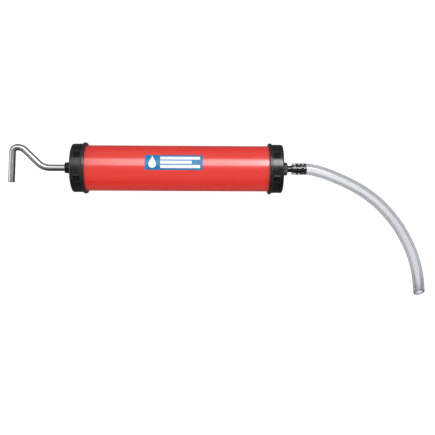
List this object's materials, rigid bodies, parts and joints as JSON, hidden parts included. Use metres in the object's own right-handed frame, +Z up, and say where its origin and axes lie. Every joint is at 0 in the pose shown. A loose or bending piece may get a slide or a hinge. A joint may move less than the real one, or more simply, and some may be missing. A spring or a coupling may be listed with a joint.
{
  "type": "hand oil suction pump",
  "caption": "Hand suction pump for gear oil: a red tube with black screw caps, a piston on a hooked chrome rod, and a clear curved hose.",
  "frame": {"origin": "on the floor, under the middle of the rigid pump's length and width, the hose left out", "axes": "+X along the barrel from the hooked handle to the hose end, +Z up, lying on the two cap flanges with the hook and hose level"},
  "size_m": [0.5245, 0.1907, 0.063],
  "materials": {
    "barrel_red": "gloss",
    "label_print": "gloss",
    "cap_black": "satin",
    "rod_chrome": "polished",
    "zinc_steel": "zinc plated",
    "seal_rubber": "matte",
    "bush_nylon": "matte",
    "hose_clear": "clear gloss"
  },
  "bodies": {
    "barrel": {"barrel": "barrel_red", "label": "label_print"},
    "piston": {"rear_cup": "seal_rubber", "piston_disc": "zinc_steel", "front_cup": "seal_rubber"},
    "rod": {"handle_rod": "rod_chrome", "jam_nut": "zinc_steel", "rear_plate": "zinc_steel", "front_plate": "zinc_steel", "spring_washer": "zinc_steel", "rod_nut": "zinc_steel"},
    "rear_seal": {"rear_gasket": "seal_rubber"},
    "rear_cap": {"rear_cap": "cap_black", "gland_nut": "cap_black", "gland_washer": "seal_rubber", "rod_seal": "seal_rubber", "rod_bush": "bush_nylon"},
    "front_seal": {"front_gasket": "seal_rubber"},
    "front_cap": {"front_cap": "cap_black", "connector_seal": "seal_rubber", "hose_connector": "cap_black", "connector_nut": "zinc_steel", "hose": "hose_clear"}
  },
  "joints": [
    {"name": "piston_slide", "type": "slide", "parent": "barrel", "child": "piston", "axis": [-1, 0, 0], "range_m": [0, 0.211]},
    {"name": "rod_spin", "type": "hinge", "parent": "piston", "child": "rod", "pos_m": [-0.1041, 0, 0.0315], "axis": [1, 0, 0], "continuous": true},
    {"name": "rear_cap_travel", "type": "slide", "parent": "barrel", "child": "rear_seal", "axis": [-1, 0, 0], "range_m": [0, 0.01201]},
    {"name": "rear_cap_turn", "type": "hinge", "parent": "rear_seal", "child": "rear_cap", "pos_m": [-0.1041, 0, 0.0315], "axis": [-1, 0, 0], "range_deg": [0, 1440]},
    {"name": "front_cap_travel", "type": "slide", "parent": "barrel", "child": "front_seal", "axis": [1, 0, 0], "range_m": [0, 0.01201]},
    {"name": "front_cap_turn", "type": "hinge", "parent": "front_seal", "child": "front_cap", "pos_m": [0.1539, 0, 0.0315], "axis": [1, 0, 0], "range_deg": [0, 1440]}
  ],
  "couplings": [
    {"joint": "rear_cap_travel", "follows": "rear_cap_turn", "m_per_rad": 0.00047746},
    {"joint": "front_cap_travel", "follows": "front_cap_turn", "m_per_rad": 0.00047746}
  ]
}
